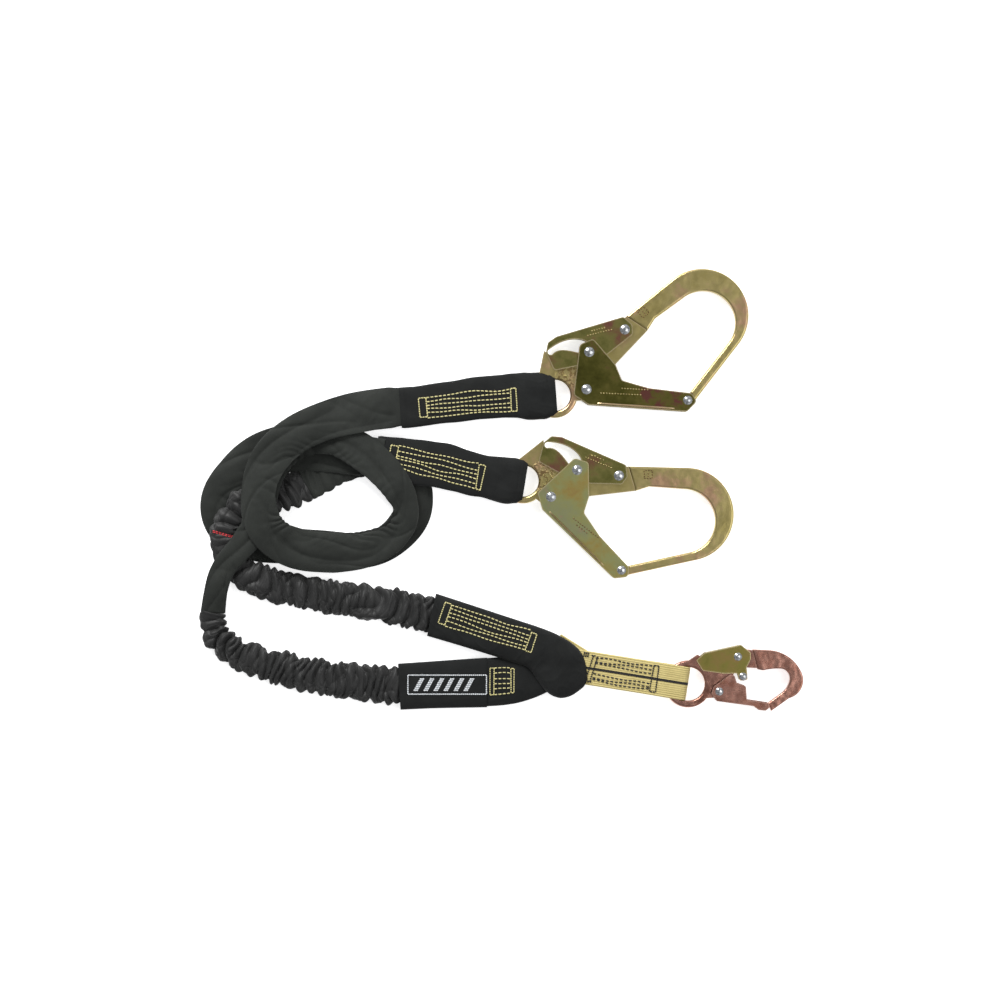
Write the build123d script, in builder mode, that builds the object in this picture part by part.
from build123d import *
import math
import os

# Twin-leg shock-absorbing lanyard, lying flat with its legs loosely coiled.
# Two large scaffold hooks end the legs and a snap hook joins them to the harness.
# Millimetres. +Z is up, and the floor is Z = 0.

os.makedirs("parts", exist_ok=True)

# ---------------------------------------------------------------- driving dimensions
HOOK_Z = 10.5              # height of the hooks' middle planes above the floor
RUNNING = 0.05             # radial clearance of a shaft that turns in its hole
SEATED = 0.02              # radial clearance of a rivet that is held in its hole

# Scaffold hook, in its own plane: origin on the gate's pivot, X along the spine.
EYE = (-27.9, 15.8)
EYE_HOLE_R = 15.5
EYE_RIM_R = 22.5
GATE_PIN = (26.0, 26.8)    # pin in the gate's upper corner, which the lock's window holds
LOCK_PIVOT = (67.8, 21.2)
NOSE_RIVET = (70.3, -73.2)
PLATE_T = 8.0              # forged plate between the cheeks
BOW_T = 11.6               # forged bow
BOW_OUT = (136.0, -17.5)
BOW_OUT_R = 46.5
BOW_IN = (132.1, -24.2)
BOW_IN_R = 32.0
LOCK_GAP = 8.6             # inside width of the lock lever
LOCK_T = 1.8
GATE_GAP = 12.8            # inside width of the gate
GATE_T = 2.0
SHAFT_R = 2.6
HEAD_R = 5.0
HEAD_H = 1.9

# Snap hook, in its own plane: origin on the gate's pivot.
S_EYE = (-30.8, 7.2)
S_EYE_HOLE_R = 16.6
S_EYE_RIM_R = 23.6
S_LOCK_PIVOT = (18.7, 34.6)
S_LOCK_PIN = (23.8, 14.7)
S_PLATE_T = 7.0
S_BOW_T = 10.0
S_LOCK_GAP = 7.6
S_LOCK_T = 1.6
S_GATE_GAP = 11.6
S_GATE_T = 1.6
S_SHAFT_R = 2.2
S_HEAD_R = 4.0
S_HEAD_H = 1.6

# Webbing, sleeves and legs
WEB_T = 2.0                # thickness of the load webbing
HOOK_WEB_W = 26.0          # width of the webbing where it goes through a scaffold hook
YELLOW_W = 32.4
TUBE_W = 42.0              # flat width of a leg's smooth outer tube
TUBE_T = 5.6
GATHER_W = 33.0            # gathered jacket over the energy-absorbing core
GATHER_T = 10.0
STRIP_W = 25.0             # flat load webbing inside a tube
STRIP_T = 2.4
CORE_W = 22.0              # partly drawn yarn core inside a gathered jacket
CORE_T = 5.0
SKIN = 1.0                 # wall of every sleeve
COVER_W = 46.4             # wear sleeve over the sewn end of a leg
COVER_T = 8.0
CUFF_W = 41.0              # the sleeve's mouth, which bends with the hook
CUFF_T = 16.4
THREAD = 0.7
THREAD_H = 0.35
STITCH_W = 26.0            # a sewn block's width over its outer rows
STITCH_ROWS = 6

# Where things lie, in plan
HOOK_1_AT = (-13.7, 101.4)
HOOK_1_TURN = 40.0
HOOK_2_AT = (-49.1, -5.8)
HOOK_2_TURN = 0.0
SNAP_AT = (118.8, -200.0)
STRAP_1_TURN = 4.2         # direction of the webbing into each hook, from +X
STRAP_2_TURN = -9.2
YELLOW_TURN = -9.0
COVER_BACK = 150.0         # sleeve's length behind the centre of the hook's eye
CUFF_BACK = 45.0           # length of it that bends with the hook
CUFF_FRONT = 1.5
CUFF_GAP = 18.0            # length of the mouth's open sides
EYE_BACK = -26.0           # where the webbing's plies begin to close up, behind the eye's centre
TUBE_OVERLAP = 8.0         # how far a leg's tube goes into its end sleeve
STITCH_BACK = -139.0       # the sewn block under a hook, from the eye's centre
STITCH_LONG = 92.0
YELLOW_BACK = -102.0       # where the yellow webbing's plies part into two tails
JUNCTION_H = 20.0
LABEL_W = 48.0
LABEL_T = 13.6
LABEL_LONG = 90.0
LOWER_T = 11.0
RED_SEAM_AT = (-373.0, -44.5)
RED_SEAM_TURN = -17.0
RED_SEAM_LONG = 24.0
RED_SEAM_Z = 16.45


def flat_frame(at, turn):
    """A plane parallel to the floor through the hooks' middle, turned about +Z."""
    angle = math.radians(turn)
    return Plane(origin=(at[0], at[1], HOOK_Z), x_dir=(math.cos(angle), math.sin(angle), 0), z_dir=(0, 0, 1))


def finish(part, label):
    """Name a finished piece and write its file."""
    part.label = label
    export_step(part, f"parts/{label}.step")


def polar(centre, radius, degrees):
    """A point on a circle."""
    angle = math.radians(degrees)
    return (centre[0] + radius * math.cos(angle), centre[1] + radius * math.sin(angle))


def across_plane(frame, at):
    """The plane that stands on a hook's plane at a point, for turned shapes."""
    origin = frame.from_local_coords((at[0], at[1], 0))
    return Plane(origin=origin, x_dir=frame.x_dir, z_dir=-frame.y_dir)


def rivet(frame, at, shaft_r, half_span, head_r, head_h):
    """A rivet with a domed head at each end; half_span is half its length under the heads."""
    standing = across_plane(frame, at)
    dome_r = (head_r ** 2 + head_h ** 2) / (2 * head_h)
    half_way = (head_r / 2, math.sqrt(dome_r ** 2 - (head_r / 2) ** 2) - dome_r + head_h)
    with BuildPart() as piece:
        with BuildSketch(frame.offset(-half_span)):
            with Locations(at):
                Circle(shaft_r)
        extrude(amount=2 * half_span)
        for side in (-1, 1):
            with BuildSketch(standing):
                with BuildLine():
                    Line((0, side * half_span), (head_r, side * half_span))
                    ThreePointArc((head_r, side * half_span), (half_way[0], side * (half_span + half_way[1])),
                                  (0, side * (half_span + head_h)))
                    Line((0, side * (half_span + head_h)), (0, side * half_span))
                make_face()
            revolve(axis=Axis(standing.origin, frame.z_dir))
    return piece.part


def torsion_spring(frame, at, coil_r, wire_r, low, turns, legs):
    """A coil round a pivot with two straight legs; low is the height of its first turn."""
    pitch = 2 * wire_r + 0.12
    base = frame.from_local_coords((at[0], at[1], low + wire_r))
    start = base + frame.x_dir * coil_r
    with BuildPart() as piece:
        with BuildLine(Plane(origin=base, x_dir=frame.x_dir, z_dir=frame.z_dir)) as path:
            Helix(pitch=pitch, height=pitch * turns, radius=coil_r)
        with BuildSketch(Plane(origin=start, x_dir=frame.x_dir, z_dir=path.line % 0)):
            Circle(wire_r)
        sweep(path=path.line, is_frenet=True)
        for end, direction in ((0, legs[0]), (1, legs[1])):
            root = path.line @ end
            heading = (frame.x_dir * direction[0] + frame.y_dir * direction[1]).normalized()
            with BuildSketch(Plane(origin=root, z_dir=heading)):
                Circle(wire_r)
            extrude(amount=direction[2])
    return piece.part


def holes(frame, spots):
    """Round bars to cut holes with, one at each spot, each given as a point and a radius."""
    with BuildPart() as bars:
        for spot, radius in spots:
            with BuildSketch(frame.offset(-40)):
                with Locations(spot):
                    Circle(radius)
            extrude(amount=80)
    return bars.part


# ---------------------------------------------------------------- scaffold hook
def scaffold_bow(frame):
    """The thick round bow from the step in the spine to the nose."""
    lower = math.degrees(math.atan2(-0.977, 0.214))
    out_end = polar(BOW_OUT, BOW_OUT_R, lower)
    in_end = polar(BOW_IN, BOW_IN_R, lower)
    back = (-0.977, -0.214)
    nose_out = (out_end[0] + 74.0 * back[0], out_end[1] + 74.0 * back[1])
    nose_in = (in_end[0] + 62.5 * back[0], in_end[1] + 62.5 * back[1])
    with BuildPart() as bow:
        with BuildSketch(frame.offset(-BOW_T / 2)):
            with BuildLine():
                Line((77.5, 30.4), (BOW_OUT[0], BOW_OUT[1] + BOW_OUT_R))
                ThreePointArc((BOW_OUT[0], BOW_OUT[1] + BOW_OUT_R), (BOW_OUT[0] + BOW_OUT_R, BOW_OUT[1]), out_end)
                Line(out_end, nose_out)
                Line(nose_out, nose_in)
                Line(nose_in, in_end)
                ThreePointArc(in_end, (BOW_IN[0] + BOW_IN_R, BOW_IN[1]), (BOW_IN[0], BOW_IN[1] + BOW_IN_R))
                Line((BOW_IN[0], BOW_IN[1] + BOW_IN_R), (98.0, 10.2))
                Line((98.0, 10.2), (84.6, 5.9))
                Line((84.6, 5.9), (77.5, 30.4))
            make_face()
        extrude(amount=BOW_T)
        faces = bow.faces().filter_by(Axis.Z)
        fillet(faces.edges(), radius=2.2)
    return bow.part


def scaffold_eye(frame):
    """The rounded ring that the leg's webbing is looped through."""
    with BuildPart() as ring:
        with BuildSketch(frame.offset(-PLATE_T / 2)):
            with Locations(EYE):
                Circle(EYE_RIM_R)
                Circle(EYE_HOLE_R, mode=Mode.SUBTRACT)
        extrude(amount=PLATE_T)
        fillet(ring.edges(), radius=2.6)
    return ring.part


def scaffold_body(frame):
    """One forging: eye, tail plate, spine and bow, with the pivot holes and a spring pocket."""
    eye = scaffold_eye(frame)
    bow = scaffold_bow(frame)
    pivots = holes(frame, [((0, 0), SHAFT_R + SEATED), (LOCK_PIVOT, SHAFT_R + SEATED)])
    with BuildPart() as body:
        with BuildSketch(frame.offset(-PLATE_T / 2)):
            with BuildLine():
                Polyline((-5.5, -9.2), (7.0, -8.2), (38.6, 0.6), (84.6, 5.9), (80.0, 30.4), (74.0, 30.2), (39.0, 24.5),
                         polar((0, 0), 33.4, 38))
                ThreePointArc(polar((0, 0), 33.4, 38), polar((0, 0), 33.4, 66), polar((0, 0), 33.4, 96))
                Polyline(polar((0, 0), 33.4, 96), (-7.5, 57.0), (-32.0, 37.6), (-38.0, 30.0), (-16.0, -1.5),
                         (-5.5, -9.2))
            make_face()
            with Locations(EYE):
                Circle(EYE_HOLE_R + 2.6, mode=Mode.SUBTRACT)
        extrude(amount=PLATE_T)
        add(eye)
        add(bow)
        with BuildSketch(frame.offset(PLATE_T / 2 - 2.4)):
            with Locations(LOCK_PIVOT):
                Circle(6.6)
        extrude(amount=2.4, mode=Mode.SUBTRACT)
        add(pivots, mode=Mode.SUBTRACT)
    return body.part


def channel(frame, outline, corner_r, gap, wall, web):
    """Two cheeks of one outline joined by a web strip along one edge."""
    with BuildPart() as piece:
        for side in (-1, 1):
            with BuildSketch(frame.offset(side * gap / 2)) as cheek:
                with BuildLine():
                    Polyline(*outline, close=True)
                make_face()
                fillet(cheek.vertices(), radius=corner_r)
            extrude(amount=side * wall)
        with BuildSketch(frame.offset(-gap / 2 - wall / 2)):
            with BuildLine():
                Polyline(*web, close=True)
            make_face()
        extrude(amount=gap + wall)
    return piece.part


def scaffold_gate(frame):
    """The folded gate: outermost cheeks that straddle the lock, the spine and the nose."""
    outline = [(-13.5, 4.0), (23.5, 38.5), (37.5, 34.5), (38.0, 0.5), (32.8, -16.0), (48.6, -39.2),
               (78.0, -70.5), (76.5, -80.0), (62.5, -81.5), (-8.5, -13.0)]
    web = [(-6.2, -13.0), (-4.8, -11.5), (58.0, -71.0), (56.6, -72.5)]
    folded = channel(frame, outline, 4.0, GATE_GAP, GATE_T, web)
    spots = [((0, 0), SHAFT_R + RUNNING), (GATE_PIN, SHAFT_R + SEATED), (NOSE_RIVET, SHAFT_R + SEATED)]
    pivots = holes(frame, spots)
    with BuildPart() as gate:
        add(folded)
        add(pivots, mode=Mode.SUBTRACT)
    return gate.part


def lock_window(frame):
    """The lock's curved window: the gate pin's way through it, with room for its shaft."""
    with BuildPart() as window:
        with BuildSketch(frame.offset(-20)):
            with BuildLine():
                Spline((-3.6, 48.7), (4.6, 47.2), (10.0, 42.7), (14.6, 37.2), (19.0, 31.2), (23.3, 25.2))
                ThreePointArc((23.3, 25.2), (26.6, 23.7), (29.1, 27.2))
                Spline((29.1, 27.2), (30.6, 36.0), (24.6, 45.0), (13.8, 51.6), (-3.6, 54.6))
                ThreePointArc((-3.6, 54.6), (-6.2, 51.9), (-3.6, 48.7))
            make_face()
        extrude(amount=40)
    return window.part


def scaffold_lock(frame):
    """The thumb lever that straddles the spine; pressing it down frees the gate's pin."""
    outline = [(-12.5, 35.0), (-7.5, 54.0), (0.5, 60.6), (11.0, 59.6), (75.0, 31.8), (76.4, 20.0), (71.0, 12.4),
               (38.6, 13.2), (7.0, 24.4)]
    web = [(13.0, 58.6), (12.3, 56.9), (72.5, 30.8), (73.2, 32.5)]
    folded = channel(frame, outline, 3.4, LOCK_GAP, LOCK_T, web)
    window = lock_window(frame)
    pivot = holes(frame, [(LOCK_PIVOT, SHAFT_R + RUNNING)])
    with BuildPart() as lock:
        add(folded)
        add(window, mode=Mode.SUBTRACT)
        add(pivot, mode=Mode.SUBTRACT)
    return lock.part


def make_scaffold_hook(number, frame):
    """All nine pieces of one scaffold hook."""
    name = f"rebar_hook_{number}"
    gate_span = GATE_GAP / 2 + GATE_T + 0.1
    lock_span = LOCK_GAP / 2 + LOCK_T + 0.1
    finish(scaffold_body(frame), f"{name}_body")
    finish(scaffold_gate(frame), f"{name}_gate")
    finish(scaffold_lock(frame), f"{name}_lock_lever")
    finish(rivet(frame, (0, 0), SHAFT_R, gate_span, HEAD_R, HEAD_H), f"{name}_gate_rivet")
    finish(rivet(frame, GATE_PIN, SHAFT_R, gate_span - 0.1, HEAD_R, HEAD_H), f"{name}_gate_pin")
    finish(rivet(frame, NOSE_RIVET, SHAFT_R, gate_span - 0.1, HEAD_R * 0.9, HEAD_H), f"{name}_nose_rivet")
    finish(rivet(frame, LOCK_PIVOT, SHAFT_R, lock_span, HEAD_R, HEAD_H), f"{name}_lock_rivet")
    gate_spring = torsion_spring(frame, (0, 0), 4.6, 0.45, PLATE_T / 2 + 0.1, 1.25, ((1, 0.25, 12), (-1, 0.15, 6)))
    finish(gate_spring, f"{name}_gate_spring")
    lock_spring = torsion_spring(frame, LOCK_PIVOT, 4.6, 0.4, PLATE_T / 2 - 2.2, 1.25, ((0.3, -1, 1), (0.2, 1, 1)))
    finish(lock_spring, f"{name}_lock_spring")


# ---------------------------------------------------------------- snap hook
def snap_bow(frame):
    """The snap hook's bow, from the spine round to the nose."""
    with BuildPart() as bow:
        with BuildSketch(frame.offset(-S_BOW_T / 2)):
            with BuildLine():
                back = Line((33.5, 41.8), (50.0, 41.0))
                crown = TangentArc((50.0, 41.0), (82.4, 19.0), tangent=back % 1)
                TangentArc((82.4, 19.0), (70.0, -7.0), tangent=crown % 1)
                Polyline((70.0, -7.0), (52.0, -19.8), (48.6, -11.8))
                inside = Line((48.6, -11.8), (62.0, -2.2))
                throat = TangentArc((62.0, -2.2), (70.4, 10.0), tangent=inside % 1)
                roof = TangentArc((70.4, 10.0), (61.0, 22.6), tangent=throat % 1)
                TangentArc((61.0, 22.6), (44.0, 20.8), tangent=roof % 1)
                Polyline((44.0, 20.8), (38.5, 21.9), (33.5, 41.8))
            make_face()
        extrude(amount=S_BOW_T)
        fillet(bow.faces().filter_by(Axis.Z).edges(), radius=1.5)
    return bow.part


def snap_eye(frame):
    """The rounded ring for the webbing loop."""
    with BuildPart() as ring:
        with BuildSketch(frame.offset(-S_PLATE_T / 2)):
            with Locations(S_EYE):
                Circle(S_EYE_RIM_R)
                Circle(S_EYE_HOLE_R, mode=Mode.SUBTRACT)
        extrude(amount=S_PLATE_T)
        fillet(ring.edges(), radius=2.4)
    return ring.part


def snap_body(frame):
    """One forging: eye, tail, spine and bow."""
    eye = snap_eye(frame)
    bow = snap_bow(frame)
    pivots = holes(frame, [((0, 0), S_SHAFT_R + SEATED), (S_LOCK_PIVOT, S_SHAFT_R + SEATED)])
    with BuildPart() as body:
        with BuildSketch(frame.offset(-S_PLATE_T / 2)):
            with BuildLine():
                Polyline((-4.0, -6.4), (3.4, -6.6), (8.0, -1.0), (11.0, 10.0), (17.0, 21.6), (28.0, 23.6),
                         (38.5, 23.0), (43.0, 26.0), (43.0, 36.0), (36.0, 40.4), (30.0, 41.6), (14.0, 40.4),
                         (-9.0, 23.4), (-14.2, 23.6), (-15.6, 33.0), (-21.5, 36.6), (-40.0, 24.0),
                         (-22.0, -8.0), (-4.0, -6.4))
            make_face()
            with Locations(S_EYE):
                Circle(S_EYE_HOLE_R + 2.4, mode=Mode.SUBTRACT)
        extrude(amount=S_PLATE_T)
        add(eye)
        add(bow)
        with BuildSketch(frame.offset(S_PLATE_T / 2 - 2.1)):
            with Locations(S_LOCK_PIVOT):
                Circle(5.6)
        extrude(amount=2.1, mode=Mode.SUBTRACT)
        add(pivots, mode=Mode.SUBTRACT)
    return body.part


def snap_gate(frame):
    """The snap hook's folded gate, notched round the lock's pin."""
    outline = [(-8.0, -2.0), (-5.6, 5.0), (11.0, 17.0), (15.2, 15.6), (17.4, 8.4), (26.4, 5.2), (27.4, -8.4),
               (49.4, -11.6), (50.2, -16.0), (46.0, -19.2), (39.0, -18.4), (34.0, -14.6), (-2.6, -9.6)]
    web = [(0.0, -9.4), (0.1, -8.0), (43.5, -12.6), (43.3, -14.2)]
    folded = channel(frame, outline, 1.6, S_GATE_GAP, S_GATE_T, web)
    pivot = holes(frame, [((0, 0), S_SHAFT_R + RUNNING)])
    with BuildPart() as gate:
        add(folded)
        add(pivot, mode=Mode.SUBTRACT)
    return gate.part


def snap_lock(frame):
    """The snap hook's thumb plate, with ears that carry the pin behind the gate."""
    outline = [(-23.0, 31.0), (-14.6, 38.4), (22.0, 46.4), (31.5, 38.6), (31.5, 32.0), (27.4, 24.0), (28.4, 11.4),
               (20.6, 10.6), (18.0, 18.0), (5.4, 17.6), (-16.4, 20.6)]
    web = [(-13.0, 38.8), (-12.6, 37.2), (20.6, 44.4), (20.2, 46.0)]
    folded = channel(frame, outline, 2.0, S_LOCK_GAP, S_LOCK_T, web)
    pivots = holes(frame, [(S_LOCK_PIVOT, S_SHAFT_R + RUNNING), (S_LOCK_PIN, S_SHAFT_R + SEATED)])
    with BuildPart() as lock:
        add(folded)
        add(pivots, mode=Mode.SUBTRACT)
    return lock.part


def make_snap_hook(frame):
    """All eight pieces of the snap hook."""
    gate_span = S_GATE_GAP / 2 + S_GATE_T + 0.1
    lock_span = S_LOCK_GAP / 2 + S_LOCK_T + 0.1
    finish(snap_body(frame), "snap_hook_body")
    finish(snap_gate(frame), "snap_hook_gate")
    finish(snap_lock(frame), "snap_hook_lock_plate")
    finish(rivet(frame, (0, 0), S_SHAFT_R, gate_span, S_HEAD_R, S_HEAD_H), "snap_hook_gate_rivet")
    finish(rivet(frame, S_LOCK_PIVOT, S_SHAFT_R, lock_span, S_HEAD_R, S_HEAD_H), "snap_hook_lock_rivet")
    finish(rivet(frame, S_LOCK_PIN, S_SHAFT_R, lock_span - 0.1, S_HEAD_R, S_HEAD_H), "snap_hook_lock_pin")
    gate_spring = torsion_spring(frame, (0, 0), 3.9, 0.4, S_PLATE_T / 2 + 0.1, 1.25, ((1, 0.1, 8), (-1, 0.1, 4)))
    finish(gate_spring, "snap_hook_gate_spring")
    lock_spring = torsion_spring(frame, S_LOCK_PIVOT, 3.9, 0.35, S_PLATE_T / 2 - 1.9, 1.25,
                                 ((0.3, -1, 1), (0.2, 1, 1)))
    finish(lock_spring, "snap_hook_lock_spring")


# ---------------------------------------------------------------- sewn ends at the hooks
def eye_centre(hook_at, turn, eye):
    """The middle of a hook's eye in plan."""
    angle = math.radians(turn)
    x = hook_at[0] + eye[0] * math.cos(angle) - eye[1] * math.sin(angle)
    y = hook_at[1] + eye[0] * math.sin(angle) + eye[1] * math.cos(angle)
    return (x, y)


def side_plane(strap):
    """The upright plane along a strap, for shapes that are drawn from its side."""
    return Plane(origin=strap.origin, x_dir=strap.x_dir, z_dir=-strap.y_dir)


def webbing_loop(strap, width, half_gap, front, spread, back, tail_gap):
    """Webbing doubled round a hook's eye: two plies that close up behind the eye, and their bend."""
    outer = half_gap + WEB_T
    bend = front - outer
    with BuildPart() as web:
        with BuildSketch(side_plane(strap).offset(-width / 2)):
            with BuildLine():
                Polyline((back, tail_gap + WEB_T), (spread - 20, tail_gap + WEB_T), (spread, outer), (bend, outer))
                ThreePointArc((bend, outer), (front, 0), (bend, -outer))
                Polyline((bend, -outer), (spread, -outer), (spread - 20, -tail_gap - WEB_T),
                         (back, -tail_gap - WEB_T), (back, -tail_gap), (spread - 20, -tail_gap),
                         (spread, -half_gap), (bend, -half_gap))
                ThreePointArc((bend, -half_gap), (front - WEB_T, 0), (bend, half_gap))
                Polyline((bend, half_gap), (spread, half_gap), (spread - 20, tail_gap), (back, tail_gap),
                         (back, tail_gap + WEB_T))
            make_face()
        extrude(amount=width)
    return web.part


def end_section(strap, at, width, height):
    """A flat rounded section across a strap."""
    plane = Plane(origin=strap.from_local_coords((at, 0, 0)), x_dir=strap.y_dir, z_dir=strap.x_dir)
    with BuildSketch(plane, mode=Mode.PRIVATE) as section:
        RectangleRounded(width, height, height * 0.3)
    return section.sketch


def hollow_run(strap, stations):
    """A hollow sleeve through rounded sections, each given as position, width and height."""
    thin = 2 * SKIN
    with BuildPart() as sleeve:
        for first, last in zip(stations, stations[1:]):
            loft([end_section(strap, *first), end_section(strap, *last)])
        for first, last in zip(stations, stations[1:]):
            inner_first = end_section(strap, first[0], first[1] - thin, first[2] - thin)
            inner_last = end_section(strap, last[0], last[1] - thin, last[2] - thin)
            loft([inner_first, inner_last], mode=Mode.SUBTRACT)
    return sleeve.part


def cover_cuff(strap):
    """The sleeve's mouth: it swells over the eye's rim, which comes out through its open sides."""
    swell = (EYE_BACK - 1, COVER_W - 1, CUFF_T)
    mouth = hollow_run(strap, [(-CUFF_BACK, COVER_W, COVER_T), swell, (CUFF_FRONT, CUFF_W, CUFF_T)])
    with BuildPart() as cuff:
        add(mouth)
        with BuildSketch(side_plane(strap).offset(-COVER_W)):
            with Locations((CUFF_FRONT - CUFF_GAP / 2, 0)):
                Rectangle(CUFF_GAP + 2, PLATE_T + 2.0)
        extrude(amount=2 * COVER_W, mode=Mode.SUBTRACT)
    return cuff.part


def box_stitching(strap, start, length, heights):
    """A sewn block: lengthwise rows and a bar at each end, on both faces of what it is sewn through."""
    with BuildPart() as stitches:
        for height, direction in heights:
            with BuildSketch(strap.offset(height)):
                for row in range(STITCH_ROWS):
                    with Locations((start + length / 2, STITCH_W * (row / (STITCH_ROWS - 1) - 0.5))):
                        Rectangle(length, THREAD)
                for bar in (start, start + length):
                    with Locations((bar, 0)):
                        Rectangle(2 * THREAD, STITCH_W + THREAD)
            extrude(amount=direction * THREAD_H)
    return stitches.part


def make_hook_end(number, strap):
    """The sewn end of one leg: its webbing eye, wear sleeve, bending cuff and stitching."""
    web = webbing_loop(strap, HOOK_WEB_W, PLATE_T / 2 + 0.6, 1.0, EYE_BACK, 1.0 - COVER_BACK + TUBE_OVERLAP, 0.3)
    finish(web, f"hook_{number}_webbing_eye")
    straight = [(-COVER_BACK, COVER_W, COVER_T), (-CUFF_BACK, COVER_W, COVER_T)]
    finish(hollow_run(strap, straight), f"hook_{number}_end_cover")
    finish(cover_cuff(strap), f"hook_{number}_cover_cuff")
    faces = ((COVER_T / 2, 1), (-COVER_T / 2, -1))
    stitches = box_stitching(strap, STITCH_BACK, STITCH_LONG, faces)
    finish(stitches, f"hook_{number}_box_stitching")


# ---------------------------------------------------------------- junction by the snap hook
def plan_piece(outline, low, high, corner_r):
    """A flat piece of one outline between two heights above the floor."""
    with BuildPart() as piece:
        with BuildSketch(Plane.XY.offset(low)) as face:
            with BuildLine():
                Polyline(*outline, close=True)
            make_face()
            fillet(face.vertices(), radius=corner_r)
        extrude(amount=high - low)
    return piece.part


def junction_cover():
    """The folded sleeve over the upper leg's sewn end, which wraps the joint of both legs."""
    outside = [(-164.5, -102.5), (-61.0, -136.0), (-38.0, -144.0), (-15.0, -158.5), (-13.5, -198.0),
               (-37.0, -208.5), (-52.0, -206.0), (-71.0, -176.0), (-173.5, -145.0)]
    inside = [(-176.0, -110.0), (-165.0, -103.9), (-61.4, -137.4), (-38.6, -145.3), (-12.0, -160.0),
              (-12.0, -196.8), (-37.2, -207.2), (-60.0, -212.0), (-88.0, -206.0), (-73.0, -176.6),
              (-71.8, -174.6), (-173.0, -143.5), (-182.0, -140.0)]
    block = plan_piece(outside, 0, JUNCTION_H, 3.0)
    with BuildPart() as cover:
        add(block)
        with BuildSketch(Plane.XY.offset(SKIN)):
            with BuildLine():
                Polyline(*inside, close=True)
            make_face()
        extrude(amount=JUNCTION_H - 2 * SKIN, mode=Mode.SUBTRACT)
    return cover.part


def label_sleeve(strap):
    """The straight sleeve over the lower leg's sewn end, which carries the printed mark."""
    return hollow_run(strap, [(0, LABEL_W, LABEL_T), (LABEL_LONG, LABEL_W, LABEL_T)])


def lower_cover(strap):
    """The lower leg's sewn end, which narrows and tucks in under the upper cover."""
    return hollow_run(strap, [(0, 45.0, LOWER_T), (20.0, 44.0, LOWER_T), (62.0, 26.0, LOWER_T)])


def yellow_webbing(strap):
    """The harness-side webbing: a loop round the snap hook's eye with a tail sewn into each leg."""
    half_gap = S_PLATE_T / 2 + 0.6
    outer = half_gap + WEB_T
    upper_tail = [(-60.0, -141.0), (-12.4, -161.5), (-12.4, -194.9), (-55.0, -186.0), (-74.0, -171.0),
                  (-150.0, -148.0), (-141.0, -118.0)]
    lower_tail = [(-12.4, -161.5), (-12.4, -194.9), (-50.0, -205.0), (-104.0, -207.0), (-104.0, -183.0),
                  (-52.0, -184.0)]
    loop = webbing_loop(strap, YELLOW_W, half_gap, 0.0, YELLOW_BACK + 40, YELLOW_BACK, half_gap)
    with BuildPart() as web:
        add(loop)
        for outline, height in ((upper_tail, half_gap), (lower_tail, -outer)):
            with BuildSketch(Plane.XY.offset(HOOK_Z + height)):
                with BuildLine():
                    Polyline(*outline, close=True)
                make_face()
            extrude(amount=WEB_T)
    return web.part


# ---------------------------------------------------------------- legs
def corner_radii(route):
    """The largest arc that fits each corner of a route."""
    radii = []
    for before, corner, after in zip(route, route[1:], route[2:]):
        come = Vector(*corner) - Vector(*before)
        leave = Vector(*after) - Vector(*corner)
        turn = math.radians(come.get_angle(leave))
        radii.append(0.45 * min(come.length, leave.length) / math.tan(turn / 2))
    return radii


def flat_cord(label, route, width, height):
    """A flat cord along a route, always level across its width."""
    radii = corner_radii(route)
    with BuildPart() as cord:
        with BuildLine() as path:
            FilletPolyline(*route, radius=radii)
        wire = path.wire()
        heading = wire % 0
        start = Plane(origin=wire @ 0, x_dir=Vector(0, 0, 1).cross(heading), z_dir=heading)
        with BuildSketch(start):
            Rectangle(width, height)
        sweep(path=wire, binormal=wire.moved(Location((0, 0, 60))), clean=False)
    expected = width * height * wire.length
    print(label, "length", round(wire.length), "radii", [round(radius) for radius in radii],
          "volume", round(cord.part.volume / expected, 4))
    finish(cord.part, label)


LEG_1_TUBE = [
    (-186.8, 85.2, 10.5), (-214, 83.2, 10.7), (-244, 78.5, 17.5), (-275, 70, 25), (-304, 57, 25.4),
    (-327, 37, 25.8), (-340, 10, 26.4), (-341, -20, 26.4), (-330, -44, 25.5), (-304, -59, 18),
    (-266, -62.5, 9.8), (-229, -60, 9.6), (-198, -42, 11.5), (-191, -14, 17.8), (-214, 21, 18.8),
    (-243, 44, 18.6), (-274, 57, 18.2), (-306, 50, 18.4), (-328, 28, 18.9), (-337, -2, 19.5),
    (-341, -34, 19.8), (-359, -57, 19.8), (-377, -77, 19.8), (-384, -99, 17.8), (-387, -121, 10)]
LEG_1_GATHERED = [
    (-387, -121, 10), (-389, -129, 7.3), (-384, -147, 5.2), (-364, -164, 5.2), (-333, -175, 5.2),
    (-295, -184, 5.2), (-254, -190.5, 5.4), (-212, -194.6, 6.6), (-172, -195.6, 6.8)]
LEG_2_TUBE = [
    (-217.2, 32.7, 10.5), (-246.8, 37.4, 10.6), (-280, 42, 10.6), (-312, 44, 7.5), (-343, 36, 3.3),
    (-368, 17, 2.9), (-384, -9, 2.9), (-378, -36, 2.9), (-353, -52, 2.9), (-316, -54, 2.9),
    (-278, -58, 2.9), (-241, -61, 2.9), (-208, -51, 2.9), (-186, -24, 2.9), (-185, 9, 2.9),
    (-207, 29, 2.9), (-236, 34, 2.9), (-264, 26, 3.0), (-284, 15, 3.6), (-296, 8.4, 4.0)]
LEG_2_GATHERED = [
    (-296, 8.4, 5.4), (-308, 1.8, 6.6), (-330, -6, 11.2), (-355, -13, 11.4), (-373, -31, 11.4),
    (-377, -56, 11.4), (-364, -77, 11.0), (-340, -91, 8.4), (-306, -100, 5.2), (-265, -107, 5.2),
    (-226, -112.5, 5.6), (-188, -119, 6.6), (-152, -129, 7)]


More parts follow.
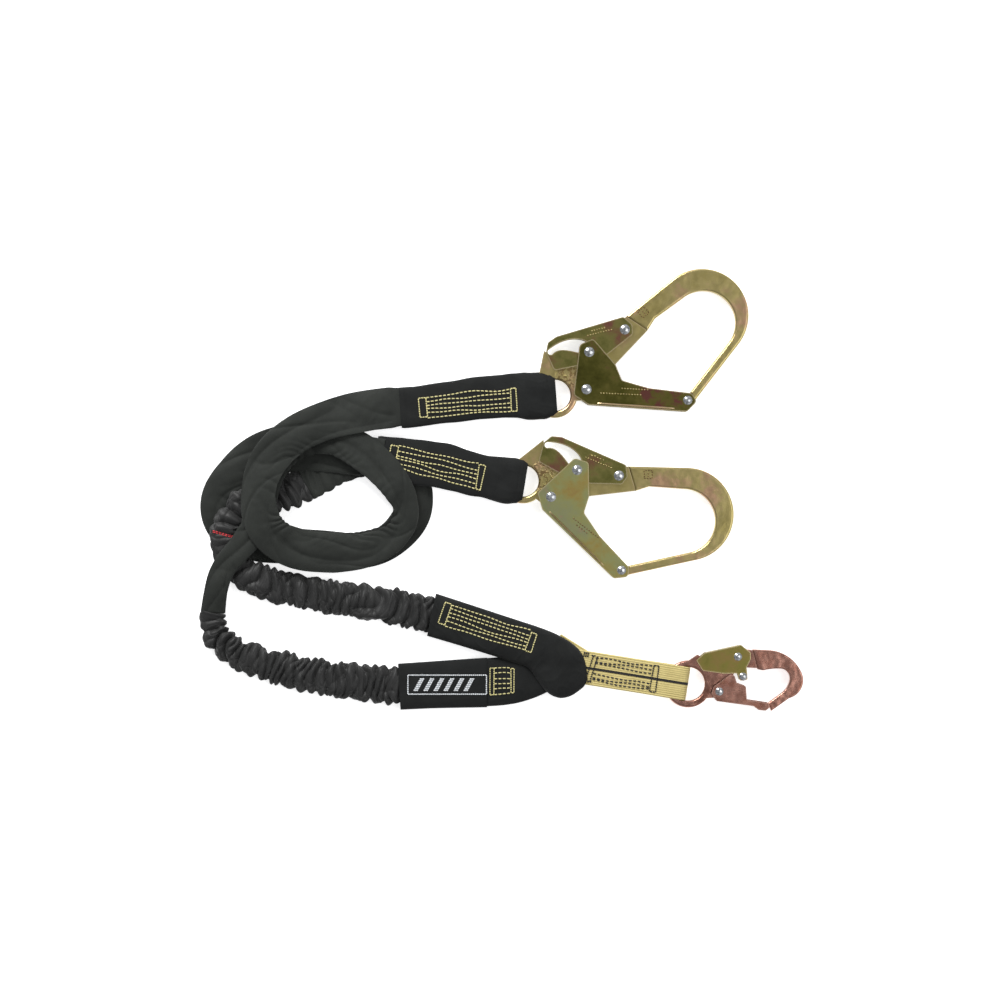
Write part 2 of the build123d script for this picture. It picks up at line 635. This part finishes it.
def stitch_marker():
    """The short red seam across the gathered jacket."""
    with BuildPart() as marker:
        with BuildSketch(Plane.XY.offset(RED_SEAM_Z)):
            with Locations(Location((RED_SEAM_AT[0], RED_SEAM_AT[1], 0), (0, 0, RED_SEAM_TURN))):
                Rectangle(RED_SEAM_LONG, 1.6)
        extrude(amount=THREAD_H)
    return marker.part


hook_1 = flat_frame(HOOK_1_AT, HOOK_1_TURN)
hook_2 = flat_frame(HOOK_2_AT, HOOK_2_TURN)
snap = flat_frame(SNAP_AT, 0)
strap_1 = flat_frame(eye_centre(HOOK_1_AT, HOOK_1_TURN, EYE), STRAP_1_TURN)
strap_2 = flat_frame(eye_centre(HOOK_2_AT, HOOK_2_TURN, EYE), STRAP_2_TURN)
yellow_strap = flat_frame(eye_centre(SNAP_AT, 0, S_EYE), YELLOW_TURN)

make_scaffold_hook(1, hook_1)
make_scaffold_hook(2, hook_2)
make_snap_hook(snap)
make_hook_end(1, strap_1)
make_hook_end(2, strap_2)

finish(yellow_webbing(yellow_strap), "yellow_webbing_loop")
yellow_faces = ((S_PLATE_T / 2 + 0.6 + WEB_T, 1), (-(S_PLATE_T / 2 + 0.6 + WEB_T), -1))
finish(box_stitching(yellow_strap, -94.0, 64.0, yellow_faces), "yellow_loop_stitching")
finish(junction_cover(), "upper_junction_cover")
upper_block = Plane(origin=(-160.0, -129.0, 0), x_dir=(math.cos(math.radians(-17)), math.sin(math.radians(-17)), 0))
finish(box_stitching(upper_block, 0.0, 100.0, ((JUNCTION_H, 1),)), "upper_junction_stitching")
label_line = Plane(origin=(-202.0, -195.4, LABEL_T / 2), x_dir=(1, 0, 0))
finish(label_sleeve(label_line), "label_sleeve")
lower_line = Plane(origin=(-111.8, -194.6, LABEL_T / 2), x_dir=(1, 0, 0))
finish(lower_cover(lower_line), "lower_junction_cover")
lower_faces = ((LOWER_T / 2, 1), (-LOWER_T / 2, -1))
finish(box_stitching(lower_line, 1.6, 18.0, lower_faces), "lower_junction_stitching")

flat_cord("leg_1_smooth_tube", LEG_1_TUBE, TUBE_W, TUBE_T)
flat_cord("leg_1_load_webbing", LEG_1_TUBE, STRIP_W, STRIP_T)
flat_cord("leg_1_gathered_jacket", LEG_1_GATHERED, GATHER_W, GATHER_T)
flat_cord("leg_1_energy_absorbing_core", LEG_1_GATHERED, CORE_W, CORE_T)
flat_cord("leg_2_smooth_tube", LEG_2_TUBE, TUBE_W, TUBE_T)
flat_cord("leg_2_load_webbing", LEG_2_TUBE, STRIP_W, STRIP_T)
flat_cord("leg_2_gathered_jacket", LEG_2_GATHERED, GATHER_W, GATHER_T)
flat_cord("leg_2_energy_absorbing_core", LEG_2_GATHERED, CORE_W, CORE_T)
finish(stitch_marker(), "red_seam_marker")
